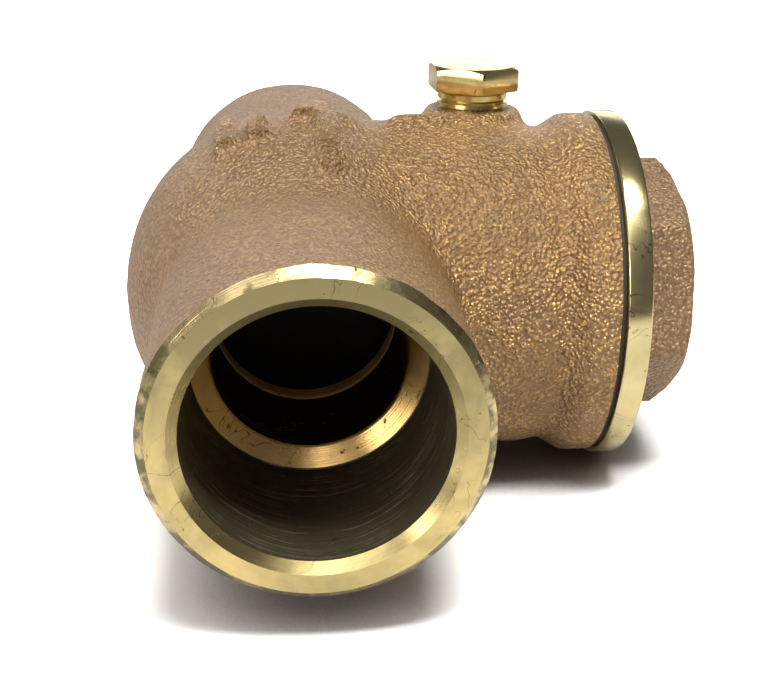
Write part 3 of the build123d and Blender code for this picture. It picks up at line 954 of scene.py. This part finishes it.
class ValveBuildBody(bpy.types.Operator):
    """Casts the body, then faces, bores and threads it"""

    bl_idname = "valve.build_body"
    bl_label = "Body"

    def execute(self, context):
        s = context.scene.valve_body
        cap = context.scene.valve_cap
        body = casting(s)
        for side in (-1, 1):
            carve(body, "DIFFERENCE", end_facing(s, side))
        carve(body, "UNION", seat_ring(s))
        seat_edge = -s.seat_station - 0.2 * MM
        wall_front = s.seat_lip + s.seat_wall - s.seat_station
        carve(body, "DIFFERENCE", water_way(s, -1, seat_edge, wall_front), water_way(s, 1, 10 * MM))
        face = rod("band_facing", s.band * 1.4, GASKET_LOW, GASKET_LOW + 6 * MM, CENTRE, AXIS_X)
        depth = 0.42 * cap.pitch
        low = GASKET_LOW - s.thread_length
        tap = threaded(
            "tap", CENTRE, AXIS_X, low, GASKET_LOW + MM, s.thread + depth / 2, depth, cap.pitch
        )
        carve(body, "DIFFERENCE", face, tap)
        hole_r, hole_floor, hole_top = 2.43 * MM, -18.6 * MM, 30 * MM
        pin_hole = rod("pin_hole", hole_r, hole_floor, hole_top, (PIN.x, PIN.y, 0), AXIS_Z, 48)
        carve(body, "DIFFERENCE", pin_hole)

        def choose(spot, normal):
            station, radius = abs(spot.y - CENTRE_Y), math.hypot(spot.x, spot.z)
            stop = HALF_RUN - s.cup_depth
            if station > HALF_RUN - s.rim_chamfer * 2.3 and abs(normal.y) > 0.4:
                chamfered = radius > s.cup_outer - s.rim_chamfer and abs(normal.y) < 0.9
                return "worn_rim" if chamfered else "machined_ring"
            if radius < s.cup_bore + 0.05 * MM and station > stop + 0.05 * MM:
                return "cup_bore"
            if radius < s.cup_bore + 0.05 * MM and station > stop - s.stop_dish - 0.5 * MM:
                return "stop_ring"
            seat = spot.y - CENTRE_Y - s.seat_station
            if -4 * MM < seat < 0.1 * MM and radius < s.stop_bore + 1.05 * MM:
                return "seat_lip"
            if -0.3 * MM < seat < 0.1 * MM and radius < s.stop_bore + 1.35 * MM:
                return "seat_lip"
            if radius < s.stop_bore + 0.3 * MM:
                return "stop_ring"
            if spot.x > low - 0.1 * MM and math.hypot(spot.y - CENTRE_Y, spot.z) < s.thread + depth:
                return "thread_brass"
            if spot.x > GASKET_LOW - 0.05 * MM and normal.x > 0.9:
                return "thread_brass"
            in_neck = spot.x > 8 * MM and math.hypot(spot.y - CENTRE_Y, spot.z) < s.neck_root - s.wall
            facing_in = normal.x * spot.x + normal.z * spot.z < 0 and station < stop
            # painted shade: the inner cast faces take the darkened inside copy of the cast bronze
            if in_neck or (facing_in and radius < s.belly - s.wall + 0.5 * MM):
                return "cast_inside"
            # painted shade: the raised marks take the darker mark copy of the cast bronze
            proud = radius - run_radius(s, spot.y - CENTRE_Y) > 0.42 * s.mark_height
            if proud and -13 * MM < spot.x < 6.5 * MM and spot.z > 0:
                return "cast_mark"
            return "cast_bronze"

        names = (
            "cast_bronze", "machined_ring", "worn_rim", "cup_bore", "stop_ring", "seat_lip", "thread_brass",
            "cast_inside", "cast_mark",
        )
        painted(body, names, choose)
        place(smoothed(settle(body, "cast_body")), "valve_body", "body", "body")
        return {"FINISHED"}


class ValveBuildCap(bpy.types.Operator):
    """Casts the hexagon, turns the flange and cuts the cap's thread"""

    bl_idname = "valve.build_cap"
    bl_label = "Cap"

    def execute(self, context):
        s = context.scene.valve_cap
        flange_end = GASKET_HIGH + s.flange_width
        head = hexagon(
            "cap", s.hex_flats, flange_end - 2 * MM, CAP_HIGH_X, CENTRE, AXIS_X, -s.hex_turn, s.hex_corner
        )
        bevelled(head, 0.7 * MM, 20, 3)
        apply(head, "REMESH", mode="VOXEL", voxel_size=0.45 * MM, use_smooth_shade=True)
        apply(head, "SMOOTH", factor=0.5, iterations=4)
        worn(head, "cap_swell", 6 * MM, 0.22 * MM)
        worn(head, "cap_ripple", 1.8 * MM, 0.09 * MM)
        edge = 0.3 * MM
        outer = FLANGE_R
        root = s.thread - 0.5 * s.pitch
        inner = s.thread - s.skirt_wall
        outline = [
            (GASKET_HIGH - 1.2 * MM, inner), (GASKET_HIGH - 1.2 * MM, root), (GASKET_HIGH, root),
            (GASKET_HIGH, outer - edge),
        ]
        outline += arc(GASKET_HIGH + edge, outer - edge, edge, -90, 0, 4)[1:]
        outline += arc(flange_end - edge, outer - edge, edge, 0, 90, 4)
        outline += [(flange_end, inner), (GASKET_HIGH - 1.2 * MM, inner)]
        flange = turned("flange", outline, CENTRE, AXIS_X)
        depth = 0.42 * s.pitch
        skirt = threaded(
            "skirt", CENTRE, AXIS_X, GASKET_HIGH - s.thread_length, GASKET_HIGH - MM,
            s.thread + depth / 2, depth, s.pitch,
        )
        top = [(GASKET_HIGH - s.thread_length - MM, 0), (GASKET_HIGH - s.thread_length - MM, inner)]
        crown = CAP_HIGH_X - 4 * MM
        top += [(GASKET_HIGH, inner), (crown, s.hex_flats / 2 - 3.2 * MM), (crown, 0)]
        carve(head, "UNION", flange)
        carve(head, "UNION", skirt)
        carve(head, "DIFFERENCE", turned("hollow", top, CENTRE, AXIS_X, 96))

        def choose(spot, normal):
            radius = math.hypot(spot.y - CENTRE_Y, spot.z)
            if spot.x < GASKET_HIGH and radius > inner + 0.1 * MM:
                return "thread_brass"
            beyond = radius > s.hex_flats / 2 * HEX_CORNER + 0.4 * MM or normal.x > 0.99
            if spot.x < flange_end + 0.01 * MM and radius > s.hex_flats / 2 and beyond:
                return "flange_brass"
            return "cast_cap"

        names = ("cast_cap", "flange_brass", "thread_brass")
        painted(head, names, choose)
        place(smoothed(settle(head, "cap_casting"), 30), "cap", "cap", "cap")
        return {"FINISHED"}


class ValveBuildGasket(bpy.types.Operator):
    """Cuts the thin fibre ring under the cap's flange"""

    bl_idname = "valve.build_gasket"
    bl_label = "Cap gasket"

    def execute(self, context):
        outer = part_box("cap_gasket")[1].z
        inner = context.scene.valve_body.thread + 0.5 * MM
        gap = 0.02 * MM
        low, high = GASKET_LOW + gap, GASKET_HIGH - gap
        swell, steps = 0.12 * MM, 4
        outline = [(low, inner)]
        for i in range(steps + 1):
            outline.append((low + (high - low) * i / steps, outer + swell * math.sin(math.pi * i / steps)))
        outline += [(high, inner), (low, inner)]
        ring = turned("fibre_gasket", outline, CENTRE, AXIS_X)
        worn(ring, "gasket_wave", 3 * MM, 0.05 * MM)
        plain(ring, "fibre")
        place(smoothed(ring, 50), "cap_seal", "gasket", "cap_gasket")
        return {"FINISHED"}


class ValveBuildPlug(bpy.types.Operator):
    """Turns the hinge pin and the brass plug that closes its hole"""

    bl_idname = "valve.build_plug"
    bl_label = "Hinge pin and plug"

    def execute(self, context):
        s = context.scene.valve_plug
        boss_top = context.scene.valve_body.boss_top
        at = (PIN.x, PIN.y, 0)
        base = PLUG_TOP - s.hex_height
        plug = hexagon("plug", s.hex_flats, base, PLUG_TOP, at, AXIS_Z, s.hex_turn, 0.45 * MM)
        bevelled(plug, 0.16 * MM, 20, 2)
        groove = s.collar - 0.35 * MM
        neck = [
            (boss_top - 3 * MM, 0), (boss_top - 3 * MM, groove), (boss_top + 0.15 * MM, groove),
            (boss_top + 0.45 * MM, s.collar + 0.15 * MM), (boss_top + 0.95 * MM, s.collar + 0.1 * MM),
            (boss_top + 1.15 * MM, groove + 0.1 * MM), (boss_top + 1.45 * MM, s.collar),
            (base - 0.45 * MM, s.collar), (base - 0.2 * MM, groove + 0.1 * MM),
            (base + MM, groove), (base + MM, 0),
        ]
        collar = turned("collar", neck, at, AXIS_Z, 96)
        shank = threaded("shank", at, AXIS_Z, PLUG_FLOOR, boss_top - 0.5 * MM, s.collar, 0.5 * MM, MM, 64)
        carve(plug, "UNION", collar)
        carve(plug, "UNION", shank)
        plain(plug, "plug_brass")
        place(smoothed(settle(plug, "pin_plug"), 28), "valve_body", "plug", "hinge_pin_plug")
        low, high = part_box("hinge_pin")
        radius, edge = (high.x - low.x) / 2, 0.4 * MM
        outline = [(low.z, 0), (low.z, radius - edge), (low.z + edge, radius)]
        outline += [(high.z - edge, radius), (high.z, radius - edge), (high.z, 0)]
        pin = turned("ground_pin", outline, at, AXIS_Z, 64)
        plain(bevelled(pin, 0.08 * MM), "steel")
        place(smoothed(pin), "valve_body", "pin", "hinge_pin")
        return {"FINISHED"}


def stud(name, radius, low, high):
    """A threaded stud along the run with a chamfered tip at its high end."""
    chamfer = 0.45 * MM
    rod_ = threaded(name, (0, 0, 0), AXIS_Y, low, high, radius, 0.35 * MM, 0.8 * MM, 64)
    ends = [(low - MM, 0), (low - MM, radius + chamfer), (high - chamfer, radius + 0.02 * MM)]
    ends += [(high, radius - chamfer), (high, 0)]
    return carve(rod_, "INTERSECT", turned("tip", ends, (0, 0, 0), AXIS_Y, 64))


def washer(name, node, inner, edge, slot, material):
    """A flat ring with rounded edges in place of a CAD node of the disc."""
    low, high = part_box(node)
    outer = high.x
    outline = [
        (low.y, inner), (low.y, outer - edge), (low.y + edge, outer), (high.y - edge, outer),
        (high.y, outer - edge), (high.y, inner), (low.y, inner),
    ]
    ring = turned(name, outline, (0, 0, 0), AXIS_Y)
    plain(bevelled(ring, edge * 0.4), material)
    return place(smoothed(ring), "disc", slot, node)


class ValveBuildHanger(bpy.types.Operator):
    """Casts the clapper arm with its hinge barrel and its round eye"""

    bl_idname = "valve.build_hanger"
    bl_label = "Disc hanger"

    def execute(self, context):
        s = context.scene.valve_disc
        low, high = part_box("disc_hanger")
        barrel_r, barrel_half = high.x - PIN.x, high.z
        back = low.y + s.arm_thickness
        at = (PIN.x, PIN.y, 0)
        half = s.arm_width / 2
        arm = rod("hanger", barrel_r, -barrel_half, barrel_half, at, AXIS_Z, 64)
        eye = rod("eye", -low.x, low.y, back, (0, 0, 0), AXIS_Y, 64)
        web = block("web", (0, low.y, -half), (PIN.x, back, half))
        foot = block("foot", (PIN.x - barrel_r, low.y + MM, -half), (PIN.x + MM, PIN.y, half))
        carve(arm, "UNION", eye, web, foot)
        apply(arm, "REMESH", mode="VOXEL", voxel_size=0.35 * MM, use_smooth_shade=True)
        apply(arm, "SMOOTH", factor=0.5, iterations=6)
        worn(arm, "hanger_swell", 2.5 * MM, 0.16 * MM)
        pin_r = (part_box("hinge_pin")[1].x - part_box("hinge_pin")[0].x) / 2 + 0.05 * MM
        carve(arm, "DIFFERENCE", rod("pin_hole", pin_r, -2 * barrel_half, 2 * barrel_half, at, AXIS_Z, 64))
        carve(arm, "DIFFERENCE", rod("eye_hole", s.stud + 0.08 * MM, 0, 3 * back, (0, 0, 0), AXIS_Y, 64))

        def choose(spot, normal):
            if math.hypot(spot.x - PIN.x, spot.y - PIN.y) < pin_r + 0.02 * MM:
                return "thread_brass"
            return "thread_brass" if math.hypot(spot.x, spot.z) < s.stud + 0.1 * MM else "cast_inside"

        # painted shade: the arm inside the valve takes the darkened inside copy of the cast bronze
        painted(arm, ("cast_inside", "thread_brass"), choose)
        place(smoothed(settle(arm, "clapper_arm")), "clapper", "hanger", "disc_hanger")
        return {"FINISHED"}


class ValveBuildDisc(bpy.types.Operator):
    """Turns the disc holder, its nut, washer and lock pin, and moulds the soft disc"""

    bl_idname = "valve.build_disc"
    bl_label = "Disc and fasteners"

    def execute(self, context):
        s = context.scene.valve_disc
        disc_low, disc_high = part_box("seat_disc")
        low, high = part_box("disc_holder")
        back, rim = disc_high.y + s.plate, disc_high.y - s.rim_height
        outer, inner, edge = high.x, disc_high.x + 0.05 * MM, 0.25 * MM
        outline = [
            (disc_high.y, 0), (disc_high.y, inner), (rim, inner), (rim, outer - edge), (rim + edge, outer),
            (back - 3 * edge, outer), (back, outer - 3 * edge), (back, 0),
        ]
        holder = bevelled(turned("holder", outline, (0, 0, 0), AXIS_Y), 0.12 * MM)
        carve(holder, "UNION", stud("stud", s.stud, back - MM, high.y))
        pin_low, pin_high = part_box("hanger_nut_lock_pin")
        at = (0, (pin_low.y + pin_high.y) / 2, 0)
        pin_r = (pin_high.y - pin_low.y) / 2
        carve(holder, "DIFFERENCE", rod("pin_hole", pin_r + 0.03 * MM, pin_low.z, pin_high.z, at, AXIS_Z, 24))
        plain(holder, "disc_bronze")
        place(smoothed(settle(holder, "turned_holder")), "disc", "holder", "disc_holder")
        edge = 0.35 * MM
        outline = [(disc_low.y, 0)] + arc(disc_low.y + edge, disc_high.x - edge, edge, -90, 0, 5)
        outline += [(disc_high.y, disc_high.x), (disc_high.y, 0)]
        soft = worn(turned("soft_seat", outline, (0, 0, 0), AXIS_Y), "soft_swell", 5 * MM, 0.04 * MM)
        plain(soft, "soft_disc")
        place(smoothed(soft), "disc", "seat_disc", "seat_disc")
        washer("spacer", "hanger_washer", s.stud + 0.02 * MM, 0.12 * MM, "hanger_washer", "steel")
        low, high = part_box("hanger_nut")
        nut = hexagon(
            "nut", high.z - low.z, low.y, high.y, (0, 0, 0), AXIS_Y, math.radians(30), 0.3 * MM, True
        )
        bore = rod("bore", s.stud + 0.01 * MM, low.y - MM, high.y + MM, (0, 0, 0), AXIS_Y, 64)
        bevelled(carve(nut, "DIFFERENCE", bore), 0.06 * MM, 20)
        plain(nut, "disc_bronze")
        place(smoothed(settle(nut, "turned_nut"), 28), "disc", "hanger_nut", "hanger_nut")
        tip = 0.15 * MM
        outline = [(pin_low.z, 0), (pin_low.z, pin_r - tip), (pin_low.z + tip, pin_r)]
        outline += [(pin_high.z - tip, pin_r), (pin_high.z, pin_r - tip), (pin_high.z, 0)]
        pin = plain(turned("drawn_pin", outline, at, AXIS_Z, 32), "steel")
        place(smoothed(pin), "disc", "lock_pin", "hanger_nut_lock_pin")
        return {"FINISHED"}


# ---------------------------------------------------------------- studio


def soft_light(name, place_at, aim, size, power, tint=(1, 1, 1)):
    """A square soft light pointed at a place."""
    deselect()
    turn = (Vector(aim) - Vector(place_at)).to_track_quat("-Z", "Y").to_euler()
    bpy.ops.object.light_add(type="AREA", location=place_at, rotation=turn)
    lamp = bpy.context.object
    lamp.name = name
    lamp.data.shape = "RECTANGLE"
    lamp.data.size, lamp.data.size_y = size
    lamp.data.energy = power
    lamp.data.color = tint
    return lamp


def studio_world(fill):
    """White to the eye; as a light softer, and dim above and behind."""
    world = bpy.data.worlds.new("studio_world")
    world.use_nodes = True
    world.node_tree.nodes.clear()
    g = Graph(world.node_tree)
    seen = g.add("ShaderNodeLightPath").outputs["Is Camera Ray"]
    way = g.add("ShaderNodeTexCoord").outputs["Generated"]
    height = g.add("ShaderNodeVectorMath", {0: way, 1: (0.25, 0.45, 0.86)}, operation="DOT_PRODUCT")
    span = {"Value": height.outputs["Value"], "From Min": 0.35, "From Max": 0.8, "To Min": fill}
    dimmed = g.add("ShaderNodeMapRange", {**span, "To Max": 0.3 * fill}).outputs[0]
    beside = g.add("ShaderNodeVectorMath", {0: way, 1: (0.8, -0.6, 0)}, operation="DOT_PRODUCT")
    span = {"Value": beside.outputs["Value"], "From Min": 0.1, "From Max": 0.8, "To Min": 1.0, "To Max": 0.35}
    dimmed = g.times(dimmed, g.add("ShaderNodeMapRange", span).outputs[0])
    surround = g.add("ShaderNodeBackground", {"Color": (0.95, 0.96, 1.0, 1), "Strength": dimmed})
    backdrop = g.add("ShaderNodeBackground", {"Color": (1, 1, 1, 1), "Strength": 1.0})
    mixed = g.add("ShaderNodeMixShader", {0: seen, 1: surround.outputs[0], 2: backdrop.outputs[0]})
    g.add("ShaderNodeOutputWorld", {"Surface": mixed.outputs[0]})
    bpy.context.scene.world = world


class ValveBuildStage(bpy.types.Operator):
    """Lays the pale floor, hangs the soft lights and stands the camera"""

    bl_idname = "valve.build_stage"
    bl_label = "Stage"

    def execute(self, context):
        s = context.scene.valve_stage
        deselect()
        bpy.ops.mesh.primitive_plane_add(size=8, location=(0, CENTRE_Y, CAD_BOX[0].z))
        floor = settle(context.object, "floor")
        material = bpy.data.materials.new("floor_board")
        material.use_nodes = True
        g = Graph(material.node_tree)
        material.node_tree.nodes.clear()
        spot = g.add("ShaderNodeTexCoord").outputs["Object"]
        cloud = g.noise(spot, 6.0)
        tone = g.mix(cloud, s.floor_tint, [0.985 * c for c in s.floor_tint])
        # painted shadow: an ambient occlusion ramp darkens the floor towards (0.17, 0.155, 0.145) where the
        # valve stands close over it
        under = g.add("ShaderNodeAmbientOcclusion", {"Distance": 14 * MM}, samples=8).outputs["AO"]
        tone_with_painted_shadow = g.mix(g.ramp(under, (0.30, 0.0), (0.95, 1.0)), (0.17, 0.155, 0.145), tone)
        # painted shade: for bounced light and reflections the floor darkens towards the camera, down to 0.12
        # of the bounce
        reach = g.add("ShaderNodeSeparateXYZ", {0: spot}).outputs["Y"]
        span = {"Value": reach, "From Min": -0.32, "From Max": -0.14, "To Min": 0.12, "To Max": 1.0}
        painted_front_shade = g.add("ShaderNodeMapRange", span).outputs[0]
        bounced = g.mix(painted_front_shade, (0, 0, 0), [s.bounce * c for c in s.floor_tint])
        seen = g.add("ShaderNodeLightPath").outputs["Is Camera Ray"]
        paper = g.add("ShaderNodeBsdfDiffuse", {"Color": g.mix(seen, bounced, tone_with_painted_shadow)})
        g.add("ShaderNodeOutputMaterial", {"Surface": paper.outputs[0]})
        plain(floor, material.name)
        middle = (10 * MM, CENTRE_Y, 0)
        soft_light("key", (0.05, -0.13, 0.45), middle, (0.24, 0.09), s.key * 1.6)
        soft_light("overhead", (-0.5, -0.7, 1.2), middle, (1.4, 0.7), s.key * 2.2)
        soft_light("backdrop", (0.1, 1.2, 0.29), middle, (2.0, 0.46), s.key * 2.6)
        soft_light("front", (-0.6, -0.55, 0.22), middle, (0.45, 0.4), s.key * 1.5, (1.0, 0.98, 0.95))
        studio_world(s.fill)
        bpy.ops.object.camera_add(location=s.camera_place, rotation=s.camera_turn)
        camera = context.object
        camera.name = "camera"
        camera.data.lens = s.lens
        camera.data.clip_start, camera.data.clip_end = 5 * MM, 20
        camera.data.dof.use_dof = False
        context.scene.camera = camera
        context.scene.view_settings.view_transform = "Standard"
        return {"FINISHED"}


class ValveMakeFinishes(bpy.types.Operator):
    """Mixes every finish of the valve"""

    bl_idname = "valve.make_finishes"
    bl_label = "Finishes"

    def execute(self, context):
        make_finishes(context.scene.valve_finishes)
        return {"FINISHED"}


# ---------------------------------------------------------------- add-on

STEPS = (
    "valve.make_finishes", "valve.build_body", "valve.build_cap", "valve.build_gasket", "valve.build_plug",
    "valve.build_hanger", "valve.build_disc", "valve.build_stage",
)
SETTINGS = {}


class VALVE_PT_build(bpy.types.Panel):
    """The build steps, in order, with their sizes and colours"""

    bl_label = "Check Valve"
    bl_space_type = "VIEW_3D"
    bl_region_type = "UI"
    bl_category = "Check Valve"

    def draw(self, context):
        for step in STEPS:
            self.layout.operator(step)
        for name, group in SETTINGS.items():
            box = self.layout.box()
            box.label(text=group.__doc__)
            for prop in group.__annotations__:
                box.prop(getattr(context.scene, name), prop)


SETTINGS.update(
    valve_body=BodySizes, valve_cap=CapSizes, valve_plug=PlugSizes, valve_disc=DiscSizes,
    valve_finishes=Finishes, valve_stage=StageSettings,
)
CLASSES = (
    *SETTINGS.values(), ValveMakeFinishes, ValveBuildBody, ValveBuildCap, ValveBuildGasket, ValveBuildPlug,
    ValveBuildHanger, ValveBuildDisc, ValveBuildStage, VALVE_PT_build,
)


def register():
    """Registers the classes and the scene's settings."""
    for cls in CLASSES:
        bpy.utils.register_class(cls)
    for name, group in SETTINGS.items():
        setattr(bpy.types.Scene, name, PointerProperty(type=group))


def unregister():
    """Takes the settings and the classes away again."""
    for name in SETTINGS:
        delattr(bpy.types.Scene, name)
    for cls in reversed(CLASSES):
        bpy.utils.unregister_class(cls)


def run_step(step):
    """Calls one operator by its id name."""
    section, name = step.split(".")
    getattr(getattr(bpy.ops, section), name)()


def main():
    """Builds the whole valve."""
    register()
    for step in STEPS:
        run_step(step)
    deselect()


if __name__ == "__main__":
    main()
